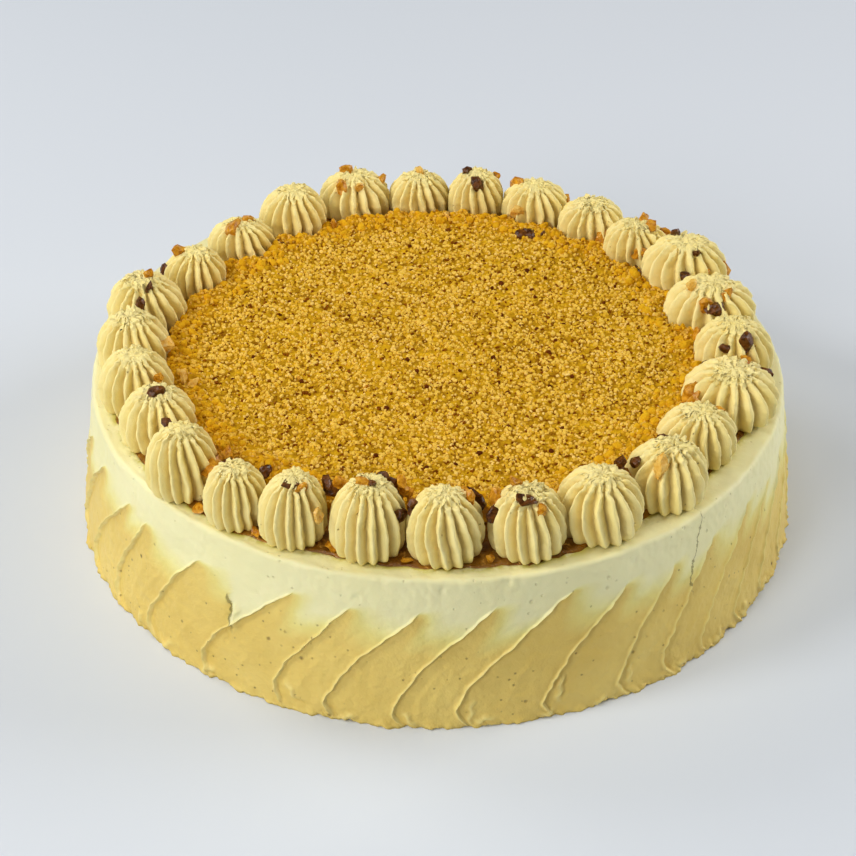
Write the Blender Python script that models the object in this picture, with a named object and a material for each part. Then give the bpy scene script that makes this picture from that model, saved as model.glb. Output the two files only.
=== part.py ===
"""Round butterscotch cake: two-tone swiped icing, a ring of piped dollops, caramel and a crumb top.

Metres, +Z up. The cake stands on z = 0 and its axis is the Z axis. The front faces -Y.
"""

import math
import random

import bmesh
import bpy
from mathutils import Euler, Vector

MM = 0.001

CAKE_HEIGHT = 47.8 * MM
FOOT_RADIUS = 109.0 * MM
RIM_RADIUS = 103.3 * MM
CLEARANCE = 0.3 * MM

BODY_SIDES = 48
WALL_SWAY = 0.5 * MM
RIM_DIP = 0.5 * MM
RIM_ROUNDING = ((0.0, -3.4 * MM), (-0.5 * MM, -1.1 * MM), (-1.9 * MM, -0.1 * MM), (-3.2 * MM, 0.0))
RECESS_RADIUS = 98.6 * MM
RECESS_DEPTH = 1.9 * MM
RECESS_LIP = 0.4 * MM

BAND_FOOT_HEIGHT = 0.4 * MM
BAND_FOOT_THICKNESS = 2.8 * MM
BAND_TOP_THICKNESS = 0.9 * MM
BAND_TOP_HEIGHT = 37.0 * MM
BAND_BACK_GAP = 0.45 * MM
BODY_SHOULDER_HEIGHT = 39.5 * MM
RIDGE_HEIGHT = 1.0 * MM
HOLLOW_DEPTH = 0.7 * MM
STROKE_ROWS = (0.0, 0.3, 0.62, 1.0)
STROKE_ROW_RELIEF = (0.6, 1.0, 1.0, 0.35)
# Foot angle and tip angle of each palette-knife stroke on the front, in degrees round the cake.
FRONT_STROKES = (
    (211, 219), (221, 231), (233, 248), (246, 257), (254, 267), (264, 278), (273, 290),
    (286, 299), (298, 308), (306, 317), (314, 327), (323, 335), (331, 343), (340, 352),
)
REAR_STROKE_COUNT = 22
REAR_STROKE_LEAN = 12.0

CARAMEL_RADIUS = RECESS_RADIUS - 0.35 * MM
CARAMEL_THICKNESS = 1.5 * MM

CRUMB_SIDES = 72
CRUMB_RADIUS = 80.5 * MM
CRUMB_THICKNESS = 3.6 * MM
CRUMB_BUMP = 0.5 * MM
CRUMB_DOLLOP_GAP = 0.45 * MM
CRUMB_SHOULDER = 4.2 * MM
# Share of the edge radius of each ring over the top, the step between its points and its height
# over the caramel in millimetres: the crumb is heaped up against the dollops.
CRUMB_RINGS = ((0.97, 1, 5.2), (0.85, 2, 4.0), (0.56, 4, 3.6), (0.28, 8, 3.6))

DOLLOP_BASE = CAKE_HEIGHT + CLEARANCE
RIDGE_COUNT = 16
# Share of the half width, share of the height, twist in degrees, valley share of the ridge radius.
DOLLOP_ROWS = (
    (0.81, 0.00, -3.0, 0.90),
    (0.98, 0.15, 0.0, 0.86),
    (1.00, 0.40, 3.0, 0.85),
    (0.82, 0.75, 8.0, 0.84),
    (0.42, 0.96, 14.0, 0.78),
)
# Angle round the cake in degrees, then ring radius, width and height in millimetres.
DOLLOPS = (
    (235, 94.5, 17.5, 18), (245.5, 93, 18.5, 20), (258.5, 91, 20.5, 21),
    (271.5, 90.5, 21, 20), (285.5, 91, 21, 19), (299, 90.5, 24, 18.5),
    (314, 90.5, 23, 17), (328, 86.5, 22.5, 15.5), (344, 88.5, 28, 15),
    (358, 88.5, 23.5, 17), (14.5, 86.5, 28, 15.5), (29.5, 89, 27, 17),
    (42, 86, 21.5, 15.5), (55.5, 88.5, 22, 14), (69, 90, 22.5, 14),
    (82, 88.5, 19, 15.5), (94, 89.5, 20.5, 14), (107.5, 92, 23.5, 14.5),
    (123, 87.5, 22, 16.5), (137, 86.5, 21.5, 13), (153.5, 85.5, 19.5, 14.5),
    (169, 90.5, 23.5, 16.5), (183, 90.5, 21.5, 17), (195.5, 90.5, 21.5, 17),
    (207.5, 89.5, 22, 15.5), (222.5, 95, 20, 20.5),
)
DOLLOP_PRESS_GAP = 0.16 * MM
CROWN_DRIFT = 0.8 * MM
CROWN_ROUGHNESS = 0.6 * MM

# Nut chips on the dollops: dollop number, direction in degrees from the cake's outward line,
# height above the dollop's base and length in millimetres.
CHIPS = (
    (3, 84, 12.5, 4), (4, 93, 17, 4), (4, 265, 13.5, 4), (5, 335, 18, 5), (5, 12, 16, 4),
    (5, 266, 11.5, 5), (7, 237, 12.5, 4), (7, 296, 14.5, 6), (9, 44, 10, 5), (9, 214, 8.5, 6),
    (10, 283, 9.5, 5), (10, 289, 14.5, 5), (11, 238, 12.5, 4.5), (11, 258, 12, 5), (12, 235, 10.5, 4),
    (12, 329, 5.5, 6), (13, 229, 9, 4.5), (13, 300, 15, 4), (13, 333, 10.5, 4), (14, 232, 5.5, 5),
    (15, 77, 11, 6), (15, 161, 7.5, 4.5), (16, 76, 15, 4), (16, 187, 14, 5), (18, 35, 14, 4.5),
    (18, 125, 12.5, 5), (18, 179, 13, 4), (18, 267, 11, 4.5), (20, 101, 12.5, 6), (21, 21, 6.5, 4.5),
    (21, 23, 13.5, 5), (22, 97, 12.5, 4.5), (23, 166, 8.5, 5), (25, 65, 15.5, 5), (26, 109, 10, 6),
    (26, 139, 8.5, 5), (26, 278, 18.5, 4),
)
CHIP_WIDTH_SHARE = 0.72
CHIP_THICKNESS_SHARE = 0.5
CHIP_UNEVENNESS = 0.22
CHIP_SINK = 0.3 * MM


def remove_everything():
    for item in list(bpy.data.objects):
        bpy.data.objects.remove(item, do_unlink=True)


def wall_radius(height):
    """Outer radius of the iced side at a height, before the slight sway."""
    return FOOT_RADIUS + (RIM_RADIUS - FOOT_RADIUS) * height / CAKE_HEIGHT


def sway(angle):
    """Slow in-and-out waver of a side iced by hand."""
    wave = 0.6 * math.sin(3 * angle + 0.7) + 0.4 * math.sin(7 * angle + 2.1)
    return WALL_SWAY * wave


def rim_dip(angle):
    wave = 0.5 + 0.3 * math.sin(5 * angle + 1.3) + 0.2 * math.sin(13 * angle)
    return RIM_DIP * wave


def body_radius(height):
    """Radius of the ivory icing, which is drawn in behind the tan band."""
    share = min(height / BAND_TOP_HEIGHT, 1.0)
    thickness = BAND_FOOT_THICKNESS + (BAND_TOP_THICKNESS - BAND_FOOT_THICKNESS) * share
    return wall_radius(height) - BAND_BACK_GAP - thickness


def polar(radius, angle, height):
    return Vector((radius * math.cos(angle), radius * math.sin(angle), height))


def add_ring(mesh, points):
    return [mesh.verts.new(point) for point in points]


def join_rings(mesh, lower, upper):
    """Join two rings of equal count with quads that face outwards from the axis."""
    count = len(lower)
    for index in range(count):
        following = (index + 1) % count
        mesh.faces.new((lower[index], lower[following], upper[following], upper[index]))


def join_to_half_ring(mesh, outer, inner):
    """Join a ring to one with half as many points that lies inside it."""
    count = len(inner)
    for index in range(count):
        middle = outer[2 * index + 1]
        following = (index + 1) % count
        mesh.faces.new((outer[2 * index], middle, inner[index]))
        mesh.faces.new((middle, inner[following], inner[index]))
        mesh.faces.new((middle, outer[(2 * index + 2) % len(outer)], inner[following]))


def close_with_fan(mesh, ring, point, upwards):
    centre = mesh.verts.new(point)
    count = len(ring)
    for index in range(count):
        following = (index + 1) % count
        if upwards:
            mesh.faces.new((ring[index], ring[following], centre))
        else:
            mesh.faces.new((ring[following], ring[index], centre))


def make_material(name, colour, roughness):
    material = bpy.data.materials.new(name)
    material.use_nodes = True
    shader = material.node_tree.nodes["Principled BSDF"]
    shader.inputs["Base Color"].default_value = (*colour, 1.0)
    shader.inputs["Roughness"].default_value = roughness
    shader.inputs["Metallic"].default_value = 0.0
    material.diffuse_color = (*colour, 1.0)
    return material


def make_object(name, mesh, colour, roughness, parent, crease_degrees):
    """Turn a bmesh into a named object with its own material."""
    bmesh.ops.recalc_face_normals(mesh, faces=mesh.faces)
    data = bpy.data.meshes.new(name)
    mesh.to_mesh(data)
    mesh.free()
    data.materials.append(make_material(name + " surface", colour, roughness))
    data.shade_smooth()
    data.set_sharp_from_angle(angle=math.radians(crease_degrees))
    item = bpy.data.objects.new(name, data)
    bpy.context.scene.collection.objects.link(item)
    item.parent = parent
    return item


def make_iced_cake(parent):
    """The cake under ivory icing, with a rounded rim and a shallow recess on top."""
    angles = [math.tau * step / BODY_SIDES for step in range(BODY_SIDES)]
    profile = [(body_radius(0.0), 0.0), (body_radius(BAND_TOP_HEIGHT), BAND_TOP_HEIGHT)]
    profile.append((wall_radius(BODY_SHOULDER_HEIGHT), BODY_SHOULDER_HEIGHT))
    for inward, downward in RIM_ROUNDING:
        profile.append((RIM_RADIUS + inward, CAKE_HEIGHT + downward))
    profile.append((RECESS_RADIUS, CAKE_HEIGHT - RECESS_LIP))
    mesh = bmesh.new()
    rings = []
    for radius, height in profile:
        dip_share = max(0.0, (height - BODY_SHOULDER_HEIGHT) / (CAKE_HEIGHT - BODY_SHOULDER_HEIGHT))
        ring = []
        for angle in angles:
            swayed = radius + sway(angle) * min(1.0, (radius - RECESS_RADIUS) / (2 * MM))
            ring.append(polar(swayed, angle, height - rim_dip(angle) * dip_share * 0.8))
        rings.append(add_ring(mesh, ring))
    floor_height = CAKE_HEIGHT - RECESS_DEPTH
    rings.append(add_ring(mesh, [polar(RECESS_RADIUS, angle, floor_height) for angle in angles]))
    for lower, upper in zip(rings, rings[1:]):
        join_rings(mesh, lower, upper)
    close_with_fan(mesh, rings[0], Vector((0.0, 0.0, 0.0)), False)
    close_with_fan(mesh, rings[-1], Vector((0.0, 0.0, floor_height)), True)
    return make_object("iced_cake", mesh, (0.78, 0.72, 0.47), 0.5, parent, 40)


def stroke_list():
    """Foot and tip angle of every stroke, once round the cake, in degrees."""
    strokes = list(FRONT_STROKES)
    first = FRONT_STROKES[-1][0]
    last = FRONT_STROKES[0][0] + 360
    spacing = (last - first) / (REAR_STROKE_COUNT + 1)
    chooser = random.Random(7)
    for step in range(REAR_STROKE_COUNT):
        foot = first + spacing * (step + 1) + chooser.uniform(-1.0, 1.0)
        strokes.append((foot, foot + REAR_STROKE_LEAN + chooser.uniform(-1.5, 1.5)))
    return strokes


def band_columns():
    """Foot angle, tip angle, relief and top height of each upright line of the swiped band."""
    strokes = stroke_list()
    chooser = random.Random(3)
    columns = []
    for index, (foot, tip) in enumerate(strokes):
        if index + 1 < len(strokes):
            next_foot, next_tip = strokes[index + 1]
        else:
            next_foot, next_tip = strokes[0][0] + 360, strokes[0][1] + 360
        peak = BAND_TOP_HEIGHT - chooser.uniform(0.0, 3.0) * MM
        dip = peak - chooser.uniform(6.0, 9.0) * MM
        middle = dip + (peak - dip) * 0.45
        parts = (
            (0.0, RIDGE_HEIGHT, peak),
            (0.2, -HOLLOW_DEPTH, dip),
            (0.6, -0.2 * HOLLOW_DEPTH, middle),
        )
        for share, relief, top in parts:
            column_foot = foot + (next_foot - foot) * share
            column_tip = tip + (next_tip - tip) * share
            columns.append((column_foot, column_tip, relief, top))
    return columns


def make_icing_band(parent):
    """Tan icing swiped up the side, thin and ragged along its top edge."""
    columns = band_columns()
    mesh = bmesh.new()
    outer_rings = []
    inner_rings = []
    for row, relief_share in zip(STROKE_ROWS, STROKE_ROW_RELIEF):
        outer = []
        inner = []
        lean = max(0.0, (row - 0.08) / 0.92)
        for foot, tip, relief, top in columns:
            angle = math.radians(foot + (tip - foot) * lean)
            height = BAND_FOOT_HEIGHT + (top - BAND_FOOT_HEIGHT) * row
            back = body_radius(height) + BAND_BACK_GAP
            thickness = wall_radius(height) - back + relief * relief_share
            inner.append(polar(back + sway(angle), angle, height))
            outer.append(polar(back + sway(angle) + max(thickness, 0.65 * MM), angle, height))
        outer_rings.append(add_ring(mesh, outer))
        inner_rings.append(add_ring(mesh, inner))
    for lower, upper in zip(outer_rings, outer_rings[1:]):
        join_rings(mesh, lower, upper)
    join_rings(mesh, outer_rings[-1], inner_rings[-1])
    for lower, upper in zip(inner_rings, inner_rings[1:]):
        join_rings(mesh, upper, lower)
    join_rings(mesh, inner_rings[0], outer_rings[0])
    return make_object("butterscotch_icing_band", mesh, (0.62, 0.42, 0.12), 0.5, parent, 50)


def make_caramel(parent):
    """Flat caramel layer that fills the recess on top."""
    floor_height = CAKE_HEIGHT - RECESS_DEPTH + CLEARANCE
    angles = [math.tau * step / BODY_SIDES for step in range(BODY_SIDES)]
    mesh = bmesh.new()
    lower = add_ring(mesh, [polar(CARAMEL_RADIUS, angle, floor_height) for angle in angles])
    upper_height = floor_height + CARAMEL_THICKNESS - 0.35 * MM
    upper = add_ring(mesh, [polar(CARAMEL_RADIUS, angle, upper_height) for angle in angles])
    top_height = floor_height + CARAMEL_THICKNESS
    crown = add_ring(mesh, [polar(CARAMEL_RADIUS - 0.6 * MM, angle, top_height) for angle in angles])
    join_rings(mesh, lower, upper)
    join_rings(mesh, upper, crown)
    close_with_fan(mesh, lower, Vector((0.0, 0.0, floor_height)), False)
    close_with_fan(mesh, crown, Vector((0.0, 0.0, top_height)), True)
    return make_object("caramel_layer", mesh, (0.30, 0.12, 0.02), 0.25, parent, 40)


def dollop_centre(index):
    angle, radius, _width, _height = DOLLOPS[index % len(DOLLOPS)]
    return polar(radius * MM, math.radians(angle), 0.0)


def crumb_limit(angle):
    """Radius to which the crumb reaches in a direction before it meets a dollop."""
    direction = Vector((math.cos(angle), math.sin(angle), 0.0))
    limit = CRUMB_RADIUS
    for index, (_angle, _radius, width, _height) in enumerate(DOLLOPS):
        centre = dollop_centre(index)
        along = centre.dot(direction)
        reach = width * MM / 2 + CRUMB_DOLLOP_GAP
        aside = (centre - direction * along).length
        if along > 0.0 and aside < reach:
            limit = min(limit, along - math.sqrt(reach * reach - aside * aside))
    return limit


def make_crumb(parent):
    """Crumb bed that covers the top inside the ring of dollops, heaped unevenly."""
    chooser = random.Random(11)
    base = DOLLOP_BASE
    angles = [math.tau * step / CRUMB_SIDES for step in range(CRUMB_SIDES)]
    limits = [crumb_limit(angle) for angle in angles]
    edge = []
    for index, angle in enumerate(angles):
        before = limits[index - 1]
        after = limits[(index + 1) % CRUMB_SIDES]
        edge.append(min(limits[index], (before + after) / 2 + 0.2 * MM))
    mesh = bmesh.new()
    lower = add_ring(mesh, [polar(radius, angle, base) for radius, angle in zip(edge, angles)])
    shoulder = []
    for radius, angle in zip(edge, angles):
        height = base + CRUMB_SHOULDER + chooser.uniform(-1.0, 1.0) * CRUMB_BUMP
        shoulder.append(polar(radius, angle, height))
    rings = [lower, add_ring(mesh, shoulder)]
    for share, step, thickness in CRUMB_RINGS:
        ring = []
        for radius, angle in list(zip(edge, angles))[::step]:
            height = base + thickness * MM + chooser.uniform(-1.0, 1.0) * CRUMB_BUMP
            ring.append(polar(radius * share, angle, height))
        rings.append(add_ring(mesh, ring))
    for below, above in zip(rings, rings[1:]):
        if len(below) == len(above):
            join_rings(mesh, below, above)
        else:
            join_to_half_ring(mesh, below, above)
    close_with_fan(mesh, lower, Vector((0.0, 0.0, base)), False)
    close_with_fan(mesh, rings[-1], Vector((0.0, 0.0, base + CRUMB_THICKNESS)), True)
    return make_object("crumb_topping", mesh, (0.52, 0.26, 0.04), 0.85, parent, 60)


def press_planes(index):
    """Outward directions and distances at which a dollop meets its two neighbours."""
    centre = dollop_centre(index)
    own_width = DOLLOPS[index][2]
    planes = []
    for other in (index - 1, index + 1):
        step = dollop_centre(other) - centre
        share = own_width / (own_width + DOLLOPS[other % len(DOLLOPS)][2])
        planes.append((step.normalized(), step.length * share - DOLLOP_PRESS_GAP))
    return planes


def press_point(point, planes):
    """Move a point back to the faces along which neighbouring dollops press together."""
    for direction, distance in planes:
        past = point.dot(direction) - distance
        if past > 0.0:
            point = point - direction * past
    return point


def dollop_reach(index, height):
    """Radius of a dollop, half way between ridge and valley, at a height above its base."""
    share = height / DOLLOPS[index][3]
    rows = DOLLOP_ROWS + ((0.0, 1.0, 0.0, 1.0),)
    for lower, upper in zip(rows, rows[1:]):
        if share <= upper[1]:
            part = (share - lower[1]) / (upper[1] - lower[1])
            width_share = lower[0] + (upper[0] - lower[0]) * part
            return DOLLOPS[index][2] * MM / 2 * width_share * (1 + lower[3]) / 2
    return 0.0


def make_chip(chip, chooser):
    """One angular nut chip, sunk part way into its dollop."""
    number, direction, height, length = chip
    index = number - 1
    half_length = length * MM / 2
    size = (half_length, half_length * CHIP_WIDTH_SHARE, half_length * CHIP_THICKNESS_SHARE)
    turn = math.radians(DOLLOPS[index][0] + direction)
    tilt = Euler([chooser.uniform(0.0, math.tau) for _axis in range(3)])
    centre = polar(dollop_reach(index, height) - CHIP_SINK, turn, height * MM)
    planes = press_planes(index)
    mesh = bmesh.new()
    bmesh.ops.create_cube(mesh, size=2.0)
    for vertex in mesh.verts:
        corner = Vector()
        for axis in range(3):
            uneven = 1.0 + chooser.uniform(-1.0, 1.0) * CHIP_UNEVENNESS
            corner[axis] = vertex.co[axis] * size[axis] * uneven
        corner.rotate(tilt)
        place = press_point(centre + corner, planes)
        place.z = max(place.z, CLEARANCE)
        vertex.co = place
    bmesh.ops.triangulate(mesh, faces=mesh.faces)
    data = bpy.data.meshes.new("chip")
    mesh.to_mesh(data)
    mesh.free()
    return bpy.data.objects.new("chip", data)


def fuse_chips(item, index):
    """Join a dollop's nut chips to it with one union."""
    chooser = random.Random(500 + index)
    chips = [chip for chip in CHIPS if chip[0] == index + 1]
    if not chips:
        return
    group = bpy.data.collections.new("chips of " + item.name)
    bpy.context.scene.collection.children.link(group)
    for chip in chips:
        piece = make_chip(chip, chooser)
        piece.location = item.location
        group.objects.link(piece)
    union = item.modifiers.new("chips", "BOOLEAN")
    union.operation = "UNION"
    union.operand_type = "COLLECTION"
    union.collection = group
    union.solver = "EXACT"
    bpy.context.view_layer.update()
    graph = bpy.context.evaluated_depsgraph_get()
    joined = bpy.data.meshes.new_from_object(item.evaluated_get(graph))
    item.modifiers.remove(union)
    item.data = joined
    for piece in list(group.objects):
        bpy.data.objects.remove(piece, do_unlink=True)
    bpy.data.collections.remove(group)


def make_dollop(index, parent):
    """Star-piped dollop: sixteen ridges, tucked-in foot, rough broken-off crown."""
    angle, radius, width, height = DOLLOPS[index]
    chooser = random.Random(100 + index)
    phase = chooser.uniform(0.0, math.tau / RIDGE_COUNT)
    drift = chooser.uniform(0.0, math.tau)
    planes = press_planes(index)
    mesh = bmesh.new()
    rings = []
    for width_share, height_share, twist, valley in DOLLOP_ROWS:
        ring = []
        for step in range(2 * RIDGE_COUNT):
            turn = phase + math.radians(twist) + math.pi * step / RIDGE_COUNT
            reach = width * MM / 2 * width_share
            if step % 2:
                reach *= valley
            point = polar(reach, turn, height * MM * height_share)
            point += polar(CROWN_DRIFT * height_share ** 2, drift, 0.0)
            if height_share > 0.9:
                point.z += chooser.uniform(-1.0, 0.6) * CROWN_ROUGHNESS
            ring.append(press_point(point, planes))
        rings.append(add_ring(mesh, ring))
    for below, above in zip(rings, rings[1:]):
        join_rings(mesh, below, above)
    close_with_fan(mesh, rings[0], Vector((0.0, 0.0, 0.0)), False)
    tip = polar(CROWN_DRIFT, drift, height * MM)
    close_with_fan(mesh, rings[-1], tip, True)
    item = make_object("dollop_%02d" % (index + 1), mesh, (0.66, 0.50, 0.20), 0.45, parent, 75)
    item.location = dollop_centre(index) + Vector((0.0, 0.0, DOLLOP_BASE))
    fuse_chips(item, index)
    return item


def build_cake():
    remove_everything()
    cake = bpy.data.objects.new("cake_centre", None)
    bpy.context.scene.collection.objects.link(cake)
    make_iced_cake(cake)
    make_icing_band(cake)
    make_caramel(cake)
    make_crumb(cake)
    for index in range(len(DOLLOPS)):
        make_dollop(index, cake)


build_cake()
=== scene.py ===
"""Looks of the butterscotch cake: swiped icing, piped dollops, caramel, crumb top and nut chips."""

import math
import random

import bmesh
import bpy
import numpy as np
from mathutils import Matrix, Vector


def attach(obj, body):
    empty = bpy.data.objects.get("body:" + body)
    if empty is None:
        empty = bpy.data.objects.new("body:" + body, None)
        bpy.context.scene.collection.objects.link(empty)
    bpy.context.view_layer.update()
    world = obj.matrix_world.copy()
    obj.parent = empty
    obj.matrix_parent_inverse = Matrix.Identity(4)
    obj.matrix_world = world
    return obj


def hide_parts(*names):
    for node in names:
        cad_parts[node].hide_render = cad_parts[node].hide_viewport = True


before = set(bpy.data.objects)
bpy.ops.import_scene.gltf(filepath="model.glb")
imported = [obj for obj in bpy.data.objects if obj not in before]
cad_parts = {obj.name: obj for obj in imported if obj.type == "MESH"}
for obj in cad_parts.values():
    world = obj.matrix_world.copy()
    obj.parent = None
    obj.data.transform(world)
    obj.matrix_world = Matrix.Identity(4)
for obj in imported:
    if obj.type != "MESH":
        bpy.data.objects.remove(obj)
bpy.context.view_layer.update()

MM = 0.001

# Sizes of the cake, in millimetres
FOOT_RADIUS = 109.0
RIM_RADIUS = 103.3
CAKE_HEIGHT = 47.8
RIM_ROUND = 1.4
CARAMEL_TOP = 47.75
# How far out the caramel shows, by angle round the cake in degrees.
CARAMEL_EDGE = (
    (0, 95.4), (30, 95), (60, 95.5), (90, 95), (120, 96.5), (150, 96), (180, 97.5),
    (199, 97.9), (228, 99.6), (239, 99.8), (252, 97.6), (264, 98.4), (280, 98.7), (290, 98.4),
    (310, 94.4), (337, 95), (360, 95.4),
)
CRUMB_BASE = 48.0
CRUMB_TOP = 51.7
CRUMB_RADIUS = 81.0
CRUMB_HEAP = 1.6
CRUMB_SHOULDER = 3.8
DOLLOP_BASE = 47.8
# Radius of the side taken for the unevenness, the width of strokes, and the marks.
WAVE_RADIUS = 104.0
STROKE_RADIUS = 106.0
MARK_RADIUS = 107.0

# Foot angle, tip angle and tip height of each palette-knife stroke on the front.
FRONT_STROKES = (
    (211, 219, 35), (221, 231, 35), (233, 248, 37), (246, 257, 36), (254, 267, 36), (264, 278, 37),
    (273, 290, 39), (286, 299, 36), (298, 308, 35), (306, 317, 36), (314, 327, 36), (323, 335, 34),
    (331, 343, 35), (340, 352, 36),
)
REAR_STROKE_COUNT = 22
REAR_STROKE_LEAN = 12.0
# Columns of the mesh within one stroke, on the front and on the rear.
FRONT_STROKE_COLUMNS = 50
REAR_STROKE_COLUMNS = 26
SIDE_ROW = 0.6
CREST_HEIGHT = 0.9
HOLLOW_DEPTH = 0.65
SWELL_HEIGHT = 0.3
# Torn bits and knife marks on the side: angle, height, length, width, rise, and turn from upright.
SIDE_MARKS = (
    (238.1, 25, 9, 1.3, -0.7, 8), (237.6, 16.5, 6, 1.3, -0.7, -20), (239.2, 24, 9, 1.2, 0.9, 6),
    (249, 6.5, 6, 1.2, 0.9, -35), (250.6, 3.2, 4.5, 1, -0.7, -50), (266.5, 3, 5, 1.2, 0.9, -40),
    (288.6, 9, 8, 1.1, 1, 8), (289.4, 9, 8, 0.9, -0.5, 8), (275.4, 5, 7.5, 1.1, 0.9, 6),
    (277.4, 2.6, 5, 1.1, 1, 80), (286.8, 1.6, 4, 1.1, 0.8, 70), (300.1, 7, 5.5, 1, 0.8, 4),
    (326, 3, 4.5, 1.2, 1, 50), (331.9, 4, 5, 1.3, 0.9, 10), (334, 1.8, 4, 1.1, 0.9, 70),
    (234.4, 2, 4.5, 1.4, 1, 60), (238.6, 1.4, 4, 1.2, -0.8, 80), (219, 3.5, 4, 1.2, 0.9, 20),
    (257.5, 1.6, 4.5, 1.2, 0.8, 65), (295, 1.5, 4, 1.2, 0.9, 75), (310, 1.8, 4, 1.1, 0.9, 60),
    (318.5, 2.4, 4.5, 1.1, 0.9, 40), (343, 2.4, 4, 1.2, 0.9, 55), (226, 2.2, 5, 1.2, 0.8, 50),
    (280.5, 46, 3, 2.2, -0.5, 90), (258.5, 40.7, 2.6, 1.6, -0.35, 90), (266.3, 43.9, 2.2, 1.5, -0.3, 90),
    (271, 44.6, 1.6, 1.3, -0.3, 90), (301, 43, 1.6, 1.3, -0.25, 90), (323, 40, 1.4, 1.2, -0.25, 90),
)
# Cracks down the ivory icing: height and angle of their points, the breadth that noise scales,
# in radians, and the most degrees that one may wander.
CRACK = ((21.5, 313.0), (28.0, 312.2), (34.0, 313.0), (41.0, 314.0), (46.6, 315.0))
SHORT_CRACK = ((17.0, 238.7), (21.0, 238.0), (25.0, 238.4), (29.5, 237.8))
CRACK_BREADTH = 0.0065
SHORT_CRACK_BREADTH = 0.013
CRACK_SPAN = 8.0
# The stroke whose upper right was left bare, beside the short crack, and where that begins.
BARE_STROKE = 1
BARE_ANGLE = 238.2
BARE_HEIGHT = 17.0

# Angle round the cake in degrees, then ring radius, width and height.
DOLLOPS = (
    (235, 94.5, 17.5, 18), (245.5, 93, 18.5, 20), (258.5, 91, 20.5, 21),
    (271.5, 90.5, 21, 20), (285.5, 91, 21, 19), (299, 90.5, 24, 18.5),
    (314, 90.5, 23, 17), (328, 86.5, 22.5, 15.5), (344, 88.5, 28, 15),
    (358, 88.5, 23.5, 17), (14.5, 86.5, 28, 15.5), (29.5, 89, 27, 17),
    (42, 86, 21.5, 15.5), (55.5, 88.5, 22, 14), (69, 90, 22.5, 14),
    (82, 88.5, 19, 15.5), (94, 89.5, 20.5, 14), (107.5, 92, 23.5, 14.5),
    (123, 87.5, 22, 16.5), (137, 86.5, 21.5, 13), (153.5, 85.5, 19.5, 14.5),
    (169, 90.5, 23.5, 16.5), (183, 90.5, 21.5, 17), (195.5, 90.5, 21.5, 17),
    (207.5, 89.5, 22, 15.5), (222.5, 95, 20, 20.5),
)
RIDGE_COUNT = 16
DOLLOP_SEGMENTS = 176
DOLLOP_RINGS = 46
# Share of the way from the foot's centre to the crown's, then radius, height and ridge depth there.
DOLLOP_OUTLINE = (
    (0.00, 0.00, 0.00, 0.00), (0.09, 0.77, 0.00, 0.11), (0.13, 0.87, 0.03, 0.17),
    (0.20, 0.96, 0.12, 0.23), (0.31, 1.01, 0.28, 0.29), (0.45, 0.985, 0.49, 0.33),
    (0.58, 0.865, 0.69, 0.36), (0.70, 0.685, 0.84, 0.38), (0.79, 0.505, 0.93, 0.32),
    (0.88, 0.30, 0.99, 0.16), (1.00, 0.00, 1.00, 0.00),
)

# Nut chips: dollop number, direction in degrees from the cake's outward line, height above the
# dollop's base, length, and kind (0 amber, 1 dark roast, 2 pale).
CHIPS = (
    (3, 84, 12.5, 4, 1), (4, 93, 17, 4, 0), (4, 265, 13.5, 4, 1), (5, 335, 18, 5, 1),
    (5, 12, 16, 4, 0), (5, 266, 11.5, 5, 1), (7, 237, 12.5, 4, 1), (7, 296, 14.5, 6, 2),
    (9, 44, 10, 5, 1), (9, 214, 8.5, 6, 0), (10, 283, 9.5, 5, 0), (10, 289, 14.5, 5, 1),
    (11, 238, 12.5, 4.5, 0), (11, 258, 12, 5, 1), (12, 235, 10.5, 4, 1), (12, 329, 5.5, 6, 0),
    (13, 229, 9, 4.5, 0), (13, 300, 15, 4, 0), (13, 333, 10.5, 4, 0), (14, 232, 5.5, 5, 0),
    (15, 77, 11, 6, 0), (15, 161, 7.5, 4.5, 2), (16, 76, 15, 4, 1), (16, 187, 14, 5, 1),
    (18, 35, 14, 4.5, 0), (18, 125, 12.5, 5, 0), (18, 179, 13, 4, 2), (18, 267, 11, 4.5, 0),
    (20, 101, 12.5, 6, 0), (21, 21, 6.5, 4.5, 1), (21, 23, 13.5, 5, 0), (22, 97, 12.5, 4.5, 1),
    (23, 166, 8.5, 5, 2), (25, 65, 15.5, 5, 1), (26, 109, 10, 6, 0), (26, 139, 8.5, 5, 0),
    (26, 278, 18.5, 4, 1),
)

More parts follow.
